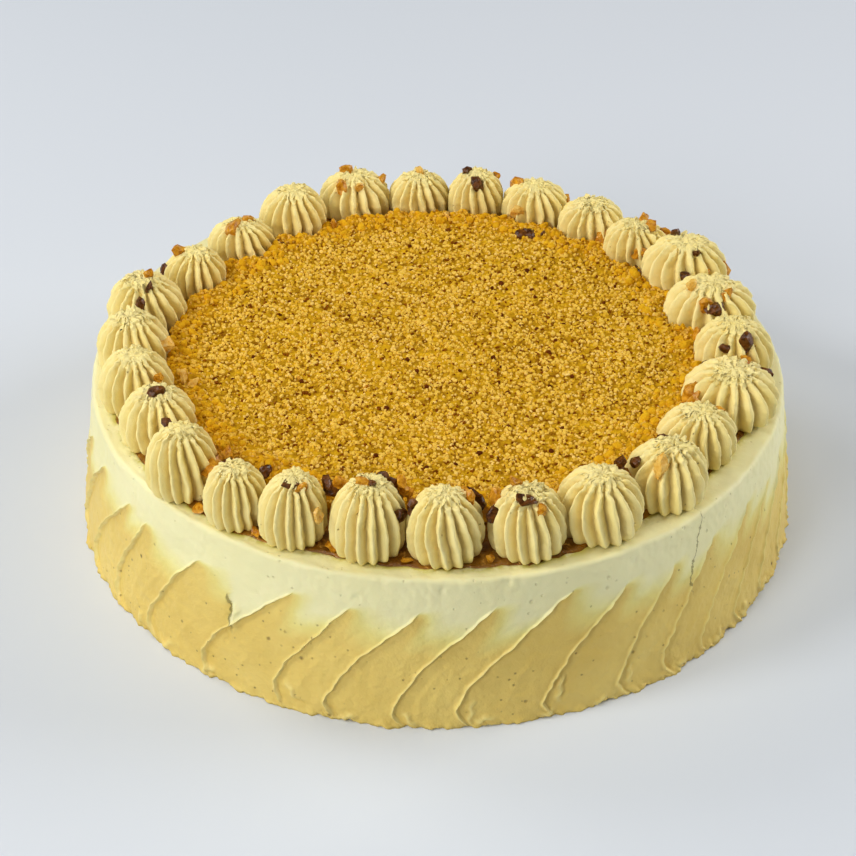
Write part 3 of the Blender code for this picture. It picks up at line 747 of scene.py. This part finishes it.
def side_rows():
    """Rows of the side, from the foot up: radius, height, angle, tan share and crest share."""
    rows, angle, relief, tan_share, crest = side_surface()
    height = rows[:, None] + 0.0 * angle
    lumps = 0.14 * waves(angle, height, 30.0, 7.0, 31) + 0.07 * waves(angle, height, 6.0, 1.8, 32)
    marks = mark_relief(angle, height)
    radius = FOOT_RADIUS + (RIM_RADIUS - FOOT_RADIUS) * height / CAKE_HEIGHT
    radius = radius + sway(angle) + relief + lumps + marks
    foot = np.clip(1.0 - height / 3.0, 0.0, 1.0)
    torn = waves(angle[:1], 0.0 * angle[:1], 16.0, 1.6, 33, 34)
    fine_torn = waves(angle, height, 4.5, 1.3, 37, 34)
    radius = radius + foot * (0.1 + 0.55 * torn + 0.25 * fine_torn)
    lifted = np.clip(waves(angle[:1], 9.0, 9.0, 1.6, 34, 30), -0.2, 2.0)
    height = height + np.clip(1.0 - height / 1.8, 0.0, 1.0) * (0.1 + 0.42 * lifted)
    # The crest share, which also carries the painted highlight, takes in the raised marks.
    crest = np.clip(crest + np.clip(marks, 0.0, 1.0), 0.0, 1.0)
    return radius, height, angle, tan_share, crest


def rim_rows(radius, height, angle):
    """Rows over the rim and in under the caramel, from the side's top row: radius, height, stain."""
    radii, heights, stains = [], [], []
    flat = CAKE_HEIGHT - rim_dip(angle) * 0.8 + 0.10 * waves(angle, 0.0, 30.0, 5.0, 38)
    wobble = 0.22 * waves(angle, 0.0, 22.0, 5.0, 35)
    for share in (0.2, 0.45, 0.7, 1.0):
        turn = share * math.pi / 2
        radii.append(radius - RIM_ROUND * 0.8 * (1 - math.cos(turn)) + wobble * share)
        heights.append(height + (flat - height) * math.sin(turn))
        stains.append(0.0 * angle)
    over = radius - RIM_ROUND * 0.8 + wobble
    inner = caramel_edge(angle) - 0.2
    for share in (0.1, 0.22, 0.36, 0.5, 0.64, 0.78, 0.9, 1.0):
        lip = 0.16 * math.sin(share * math.pi)
        ripple = 0.07 * waves(angle, share * 6.0, 8.0, 2.0, 39)
        radii.append(over + (inner - over) * share)
        heights.append(flat - lip + ripple - 0.15 * share ** 6)
        stains.append(np.exp(-((1.0 - share) * (over - inner) / 1.7) ** 2))
    radii.append(inner - 0.6)
    heights.append(flat - 1.4)
    stains.append(0.0 * angle + 1.0)
    for inner_radius in (60.0, 0.0):
        radii.append(0.0 * angle + inner_radius)
        heights.append(0.0 * angle + CAKE_HEIGHT - 1.8)
        stains.append(0.0 * angle)
    return np.array(radii), np.array(heights), np.array(stains)


def icing_rows():
    """All rows of the iced surface from the middle of the underside, up the side, over the rim
    and in under the caramel, with the tan, crest and stain share of each point."""
    radius, height, angle, tan_share, crest = side_rows()
    rim_radius, rim_height, rim_stain = rim_rows(radius[-1], height[-1], angle[-1])
    flat_radii = [0.0 * angle[:1] + value for value in (0.0, 60.0, 104.0)]
    under_radius = np.vstack((*flat_radii, radius[:1] - 0.7))
    under, over = 0.0 * under_radius, 0.0 * rim_radius
    radii = np.vstack((under_radius, radius, rim_radius))
    heights = np.vstack((under, height, rim_height))
    angles = np.vstack((under + angle[:1], angle, over + angle[-1:]))
    shares = {
        "tan": np.vstack((under + tan_share[:1], tan_share, over)),
        "crest": np.vstack((under, crest, over)),
        "stain": np.vstack((under, 0.0 * tan_share, rim_stain)),
    }
    return radii, angles, heights, shares


def give_attribute(mesh, name, values):
    layer = mesh.attributes.new(name, "FLOAT", "POINT")
    layer.data.foreach_set("value", np.ascontiguousarray(values, dtype=np.float32))


def split_mesh(mesh, name, keep):
    """A copy of the mesh with only the faces whose tan share passes the test."""
    part = mesh.copy()
    part.name = name
    edit = bmesh.new()
    edit.from_mesh(part)
    layer = edit.verts.layers.float["tan"]
    shares = {face: sum(vert[layer] for vert in face.verts) / len(face.verts) for face in edit.faces}
    gone = [face for face, share in shares.items() if not keep(share)]
    bmesh.ops.delete(edit, geom=gone, context="FACES")
    edit.to_mesh(part)
    edit.free()
    part.shade_smooth()
    return part


def make_side_icing():
    radius, angle, height, shares = icing_rows()
    points = np.stack((radius * np.cos(angle), radius * np.sin(angle), height), axis=-1) * MM
    whole = grid_mesh("iced_surface", points)

    def flatten(values):
        return np.concatenate(([values[0, 0], values[-1, 0]], values[1:-1].ravel()))

    for name, values in shares.items():
        give_attribute(whole, name, flatten(values))
    ivory = split_mesh(whole, "ivory_icing", lambda share: share <= 0.5)
    tan = split_mesh(whole, "swiped_tan_icing", lambda share: share > 0.5)
    bpy.data.meshes.remove(whole)
    ivory.materials.append(side_icing_material("ivory_buttercream"))
    tan.materials.append(side_icing_material("tan_buttercream"))
    add_piece("ivory_icing", ivory, ("iced_cake",))
    add_piece("swiped_tan_icing", tan, ("butterscotch_icing_band",))


# Piped dollops
def dollop_tree(material):
    """Star-piped dollop: a sphere drawn to the outline, ridged, with a rough crown."""
    sizes = ("Width", "Height", "Ridges", "Twist", "Roughness", "Seed")
    tree, nodes, given = geometry_tree("piped_dollop", sizes)
    ball = nodes.result("GeometryNodeMeshUVSphere", {"Segments": DOLLOP_SEGMENTS, "Rings": DOLLOP_RINGS})
    place = nodes.result("GeometryNodeInputPosition")
    axes = nodes.add("ShaderNodeSeparateXYZ", {0: place}).outputs
    around = nodes.math("ARCTAN2", axes[1], axes[0])
    upward = nodes.math("MAXIMUM", nodes.math("MINIMUM", axes[2], 1.0), -1.0)
    share = nodes.minus(1.0, nodes.math("DIVIDE", nodes.math("ARCCOSINE", upward), math.pi))

    def outline(column):
        curve = nodes.add("ShaderNodeFloatCurve", {"Value": share})
        points = curve.mapping.curves[0].points
        for number, row in enumerate(DOLLOP_OUTLINE):
            if number == 0:
                points[0].location = (row[0], row[column])
            elif number == len(DOLLOP_OUTLINE) - 1:
                points[len(points) - 1].location = (row[0], row[column])
            else:
                points.new(row[0], row[column])
        curve.mapping.update()
        return curve.outputs[0]

    reach, level, depth = outline(1), outline(2), outline(3)
    turn = nodes.plus(around, nodes.times(level, given["Twist"]))
    turn = nodes.plus(turn, given["Seed"])
    seeded = nodes.result("ShaderNodeCombineXYZ", {"Z": given["Seed"]})
    shifted = nodes.vector_math("ADD", place, seeded)
    slow = nodes.minus(nodes.noise(shifted, 1.3, 1.0, 0.5, 1.0), 0.5)
    turn = nodes.plus(turn, nodes.times(slow, 0.22))
    phase = nodes.times(turn, given["Ridges"])
    phase = nodes.plus(phase, nodes.times(nodes.math("SINE", phase), 0.42))
    lobe = nodes.math("ABSOLUTE", nodes.math("COSINE", nodes.times(phase, 0.5)))
    lobe = nodes.math("POWER", lobe, 0.9)
    valley = nodes.times(nodes.minus(1.0, lobe), depth)
    uneven = nodes.times(nodes.minus(nodes.noise(shifted, 2.6, 2.0, 0.5, 2.0), 0.5), 0.10)
    width_share = nodes.minus(nodes.plus(1.0, uneven), valley)
    radius = nodes.times(nodes.times(reach, width_share), nodes.times(given["Width"], 0.5))
    teeth = nodes.times(nodes.times(lobe, nodes.ramp(share, 0.24, 0.09)), 0.2 * MM)
    height = nodes.minus(nodes.times(level, given["Height"]), teeth)
    flat_x = nodes.times(radius, nodes.math("COSINE", around))
    flat_y = nodes.times(radius, nodes.math("SINE", around))
    target = nodes.result("ShaderNodeCombineXYZ", {"X": flat_x, "Y": flat_y, "Z": height})
    crown = nodes.times(nodes.ramp(share, 0.66, 0.82), 1.05)
    shoulder = nodes.times(nodes.ramp(share, 0.35, 0.70), 0.16)
    rough_size = nodes.times(nodes.plus(nodes.plus(crown, shoulder), 0.14), given["Roughness"])
    for scale, part, seed in ((300.0, 0.9, 3.0), (800.0, 0.58, 4.0), (1700.0, 0.28, 5.0)):
        spot = nodes.vector_math("ADD", target, seeded)
        step = nodes.wander(spot, scale, 2.0, 0.6, seed, nodes.times(rough_size, part))
        target = nodes.vector_math("ADD", target, step)
    # Mask for the painted shade in the grooves between the ridges.
    groove_shade = nodes.times(nodes.minus(1.0, lobe), nodes.ramp(share, 0.9, 0.7))
    stored = {"Geometry": ball, "Name": "groove_shade", "Value": groove_shade}
    kept = nodes.result("GeometryNodeStoreNamedAttribute", stored, data_type="FLOAT", domain="POINT")
    shaped = nodes.result("GeometryNodeSetPosition", {"Geometry": kept, "Position": target})
    smooth = nodes.result("GeometryNodeSetShadeSmooth", {"Geometry": shaped})
    finish_tree(nodes, smooth, material)
    return tree


def dollop_centre(index):
    angle, radius, _width, _height = DOLLOPS[index % len(DOLLOPS)]
    turn = math.radians(angle)
    return np.array((radius * math.cos(turn), radius * math.sin(turn), 0.0)) * MM


def press(points, index):
    """Flattens a dollop softly where it presses against its two neighbours."""
    own_width = DOLLOPS[index][2]
    for other in (index - 1, index + 1):
        step = dollop_centre(other) - dollop_centre(index)
        length = np.linalg.norm(step)
        direction = step / length
        limit = length * own_width / (own_width + DOLLOPS[other % len(DOLLOPS)][2]) - 0.1 * MM
        past = points @ direction - limit
        points = points - np.outer(np.where(past > 0.0, past, 0.0), direction)
    return points


def make_dollops():
    tree = dollop_tree(dollop_material())
    blank = bpy.data.meshes.new("blank")
    for index, (angle, _radius, width, height) in enumerate(DOLLOPS):
        chooser = random.Random(100 + index)
        values = {
            "Width": width * MM * 1.02, "Height": height * MM, "Ridges": float(RIDGE_COUNT),
            "Twist": chooser.uniform(0.12, 0.34), "Roughness": chooser.uniform(2.8, 4.2) * MM,
            "Seed": 3.7 * index + 1.0,
        }
        mesh = run_tree(tree, blank, values)
        points = mesh_points(mesh)
        share = np.clip(points[:, 2] / (height * MM), 0.0, 1.0)
        drift = chooser.uniform(0.0, math.tau)
        lean = chooser.uniform(0.3, 1.3) * MM
        points[:, 0] += share ** 2 * lean * math.cos(drift)
        points[:, 1] += share ** 2 * lean * math.sin(drift)
        slant = chooser.uniform(-0.10, 0.10)
        along = points[:, 0] * math.cos(drift) + points[:, 1] * math.sin(drift)
        points[:, 2] += share ** 4 * slant * along
        points = press(points, index)
        points += dollop_centre(index) + np.array((0.0, 0.0, DOLLOP_BASE * MM))
        mesh.vertices.foreach_set("co", points.ravel())
        mesh.update()
        name = "dollop_%02d" % (index + 1)
        mesh.name = "piped_" + name
        add_piece("piped_" + name, mesh, (name,))
    bpy.data.meshes.remove(blank)


# Caramel and crumb
def make_caramel():
    """Caramel sheet under the dollops, with a soft uneven outer edge."""
    angle = np.linspace(0.0, math.tau, 600, endpoint=False)
    edge = caramel_edge(angle) + 0.35 * waves(angle, 0.0, 7.0, 2.0, 41)
    middle = 0.0 * angle
    rows = [(middle, middle + CARAMEL_TOP - 1.3)]
    rows += [(edge - inward, middle + CARAMEL_TOP - 1.3) for inward in (38.0, 1.0)]
    for inward in (0.0, 0.25, 0.55, 0.9, 1.4, *np.arange(2.2, 38.0, 1.1), 60.0):
        dome = 1.0 - math.exp(-inward / 0.5)
        radius = edge - inward
        grit = 0.13 * plane_waves(radius * np.cos(angle), radius * np.sin(angle), 7.0, 1.8, 42)
        rows.append((radius, CARAMEL_TOP - 0.9 + 0.95 * dome + grit))
    rows.append((middle, middle + CARAMEL_TOP))
    radius, height = np.array(rows).transpose(1, 0, 2)
    points = np.stack((radius * np.cos(angle), radius * np.sin(angle), height), axis=-1) * MM
    mesh = grid_mesh("caramel_sheet", points)
    mesh.materials.append(caramel_material())
    add_piece("caramel_sheet", mesh, ("caramel_layer",))


def crumb_limit(angle):
    """Radius at which the crumb meets a dollop, or its own edge, in each direction."""
    limit = np.full(angle.shape, CRUMB_RADIUS) + 0.5 * waves(angle, 0.0, 14.0, 3.0, 51)
    for index, (_angle, _radius, width, _height) in enumerate(DOLLOPS):
        centre = dollop_centre(index) / MM
        along = centre[0] * np.cos(angle) + centre[1] * np.sin(angle)
        aside = centre[0] * np.sin(angle) - centre[1] * np.cos(angle)
        reach = width / 2 - 0.4
        root = np.sqrt(np.clip(reach * reach - aside * aside, 0.0, None))
        inside = (along > 0.0) & (np.abs(aside) < reach)
        limit = np.where(inside, np.minimum(limit, along - root), limit)
    return limit


def crumb_bed():
    """Bed of packed crumb, lumpy on top and heaped against the dollops, and its outer ring."""
    angle = np.linspace(0.0, math.tau, 420, endpoint=False)
    limit = crumb_limit(angle)
    middle = 0.0 * angle
    rows = [(limit * share, middle + CRUMB_BASE) for share in (0.0, 0.5, 1.0)]
    for inward in (0.0, 0.4, 0.9, 1.5, 2.2, 3.0, CRUMB_SHOULDER):
        rise = 0.7 + 0.3 * math.sin(min(inward / 1.5, 1.0) * math.pi / 2)
        rows.append((limit - inward, middle + CRUMB_BASE + (CRUMB_TOP - CRUMB_BASE) * rise))
    for share in np.linspace(0.985, 0.0, 70):
        rows.append(((limit - CRUMB_SHOULDER) * share, middle + CRUMB_TOP))
    radius, height = np.array(rows).transpose(1, 0, 2)
    inward = limit - radius
    heap = np.clip(1.0 - np.abs(inward - 2.5) / np.where(inward > 2.5, 9.0, 5.0), 0.0, 1.0)
    uneven = 1.0 + 0.5 * waves(angle, 0.0, 22.0, 6.0, 54)
    height[3:] += CRUMB_HEAP * (smooth_step(0.0, 1.0, heap) * uneven)[3:]
    x, y = radius * np.cos(angle), radius * np.sin(angle)
    lumps = 0.30 * plane_waves(x, y, 24.0, 5.0, 52) + 0.24 * plane_waves(x, y, 5.0, 2.4, 53)
    height[3:] += lumps[3:] * np.clip((height[3:] - CRUMB_BASE) / 2.0, 0.0, 1.0)
    points = np.stack((x, y, height), axis=-1) * MM
    return grid_mesh("crumb_bed", points), ring_mesh("crumb_rim", points[4:15])


def scatter_tree(name, material):
    """Scatters uneven grains over the top of a bed, at true size and joined as one mesh."""
    tree, nodes, given = geometry_tree(name, ("Density", "Smallest", "Largest"), ("Seed", "Detail"))
    facing = nodes.result("GeometryNodeInputNormal")
    upward = nodes.add("ShaderNodeSeparateXYZ", {0: facing}).outputs[2]
    places = {"Mesh": given["Geometry"], "Selection": nodes.math("GREATER_THAN", upward, 0.15),
              "Density": given["Density"], "Seed": given["Seed"]}
    points = nodes.result("GeometryNodeDistributePointsOnFaces", places, distribute_method="RANDOM")
    grain = nodes.result("GeometryNodeMeshIcoSphere", {"Radius": 1.0, "Subdivisions": given["Detail"]})
    turn = nodes.add("FunctionNodeRandomValue", {"Seed": given["Seed"]}, data_type="FLOAT_VECTOR")
    turn.inputs[1].default_value = (math.tau, math.tau, math.tau)
    reach = {2: given["Smallest"], 3: given["Largest"]}
    size = nodes.add("FunctionNodeRandomValue", reach, data_type="FLOAT")
    reach = {0: (0.7, 0.7, 0.6), 1: (1.25, 1.25, 1.1)}
    stretch = nodes.add("FunctionNodeRandomValue", reach, data_type="FLOAT_VECTOR")
    scale = nodes.vector_math("SCALE", stretch.outputs[0], size.outputs[1])
    inputs = {"Points": points, "Instance": grain, "Rotation": turn.outputs[0], "Scale": scale}
    finish_scatter(nodes, inputs, (1400.0, 1.0, 0.5, 9.0), 0.9 * MM, material)
    return tree


def make_crumb():
    bed, rim = crumb_bed()
    for name, low, high, on_rim, density, smallest, largest, seed, detail in CRUMB_KINDS:
        material = crumb_material(name.rstrip("s") + "_baked", low, high, float(seed))
        tree = scatter_tree("scatter_" + name, material)
        values = {"Density": density / MM ** 2, "Smallest": smallest * MM, "Largest": largest * MM,
                  "Seed": seed, "Detail": detail}
        mesh = run_tree(tree, rim if on_rim else bed, values)
        mesh.name = name
        add_piece(name, mesh)
    bpy.data.meshes.remove(rim)
    bed.materials.append(crumb_material("packed_crumb", BED_DARK, BED_PALE, 64.0))
    add_piece("crumb_bed", bed, ("crumb_topping",))


# Nut chips
def outline_radius(index, height):
    """Half width of a dollop, between ridge and valley, at a height above its base."""
    share = height / DOLLOPS[index][3]
    heights = [row[2] for row in DOLLOP_OUTLINE[1:-1]]
    reaches = [row[1] for row in DOLLOP_OUTLINE[1:-1]]
    if share >= heights[-1]:
        return max(0.0, (1.0 - share) * 10.0) * reaches[-1] * DOLLOPS[index][2] / 2
    return float(np.interp(share, heights, reaches)) * DOLLOPS[index][2] / 2 * 0.95


def chip_tree(name, material):
    """Angular nut chips: one at each given point, sized and turned by its stored values."""
    tree, nodes, given = geometry_tree(name, ("Unevenness",))
    block = nodes.result("GeometryNodeMeshIcoSphere", {"Radius": 0.62, "Subdivisions": 2})
    size = nodes.result("GeometryNodeInputNamedAttribute", {"Name": "size"}, data_type="FLOAT_VECTOR")
    turn = nodes.result("GeometryNodeInputNamedAttribute", {"Name": "turn"}, data_type="FLOAT_VECTOR")
    points = nodes.result("GeometryNodeMeshToPoints", {"Mesh": given["Geometry"]})
    inputs = {"Points": points, "Instance": block, "Rotation": turn, "Scale": size}
    finish_scatter(nodes, inputs, (330.0, 1.0, 0.6, 9.0), given["Unevenness"], material)
    return tree


def chip_spots(kind):
    """Place and length of every nut chip of one kind: first those on dollops, then the loose ones."""
    spots = []
    for number, direction, height, length, chip_kind in CHIPS:
        if chip_kind == kind:
            index = number - 1
            turn = math.radians(DOLLOPS[index][0] + direction)
            reach = outline_radius(index, height) - 0.2
            offset = np.array((reach * math.cos(turn), reach * math.sin(turn), DOLLOP_BASE + height))
            spots.append((dollop_centre(index) + offset * MM, length))
    for angle, radius, height, length, chip_kind in LOOSE_CHIPS:
        if chip_kind == kind:
            turn = math.radians(angle)
            place = np.array((radius * math.cos(turn), radius * math.sin(turn), height)) * MM
            spots.append((place, length))
    return spots


def make_chips():
    for kind, (name, low, high) in enumerate(CHIP_KINDS):
        chooser = random.Random(700 + kind)
        spots = chip_spots(kind)
        turns = [[chooser.uniform(0.0, math.tau) for _ in range(3)] for _ in spots]
        sizes = [(length * MM, length * 0.72 * MM, length * 0.5 * MM) for _place, length in spots]
        points = bpy.data.meshes.new("chip_places")
        points.from_pydata([tuple(place) for place, _length in spots], [], [])
        for label, values in (("size", sizes), ("turn", turns)):
            layer = points.attributes.new(label, "FLOAT_VECTOR", "POINT")
            layer.data.foreach_set("vector", np.array(values, dtype=np.float32).ravel())
        tree = chip_tree("scatter_" + name, nut_material(name.rstrip("s"), low, high, 70.0 + kind))
        mesh = run_tree(tree, points, {"Unevenness": 4.5 * MM})
        mesh.name = name
        add_piece(name, mesh)
        bpy.data.meshes.remove(points)


# Stage, light and camera
def make_stage():
    data = bpy.data.meshes.new("table_top")
    corners = ((-1, -1), (1, -1), (1, 1), (-1, 1))
    data.from_pydata([(x * TABLE_HALF, y * TABLE_HALF, 0.0) for x, y in corners], [], [(0, 1, 2, 3)])
    material, nodes, shader, place = start_material("pale_table")
    soft = nodes.noise(place, 3.0, 2.0, 0.5, 90.0)
    nodes.tree.links.new(nodes.mix(soft, TABLE_COOL, TABLE_PALE), shader.inputs["Base Color"])
    shader.inputs["Roughness"].default_value = 0.7
    data.materials.append(material)
    table = new_object("table_top", data)


def add_lamp(name, place, size, power, colour):
    data = bpy.data.lights.new(name, "AREA")
    data.shape = "DISK"
    data.size = size
    data.energy = power
    data.color = colour
    lamp = new_object(name, data)
    lamp.location = place
    lamp.rotation_mode = "QUATERNION"
    lamp.rotation_quaternion = (LAMP_AIM - Vector(place)).to_track_quat("-Z", "Y")


def make_light():
    world = bpy.data.worlds.new("soft_room")
    bpy.context.scene.world = world
    world.use_nodes = True
    back = world.node_tree.nodes["Background"]
    back.inputs["Color"].default_value = (0.93, 0.96, 1.0, 1.0)
    back.inputs["Strength"].default_value = 0.10
    for lamp in LAMPS:
        add_lamp(*lamp)


def make_camera():
    """Camera at the height, turn and distance from which the cake was photographed."""
    data = bpy.data.cameras.new("camera")
    data.sensor_width = SENSOR_WIDTH
    data.lens = SENSOR_WIDTH * FOCAL_PIXELS / PHOTO_PIXELS
    data.clip_start = 0.05
    data.clip_end = 50.0
    camera = new_object("camera", data)
    forward = Vector((0.0, math.cos(CAMERA_PITCH), -math.sin(CAMERA_PITCH)))
    level = Vector((1.0, 0.0, 0.0))
    raised = level.cross(forward)
    right = level * math.cos(CAMERA_ROLL) + raised * math.sin(CAMERA_ROLL)
    up = raised * math.cos(CAMERA_ROLL) - level * math.sin(CAMERA_ROLL)
    turn = Matrix((right, up, -forward)).transposed().to_4x4()
    camera.matrix_world = Matrix.Translation(CAMERA_PLACE) @ turn
    bpy.context.scene.camera = camera
    bpy.context.scene.view_settings.view_transform = "Standard"


make_side_icing()
make_caramel()
make_crumb()
make_dollops()
make_chips()
make_stage()
make_light()
make_camera()
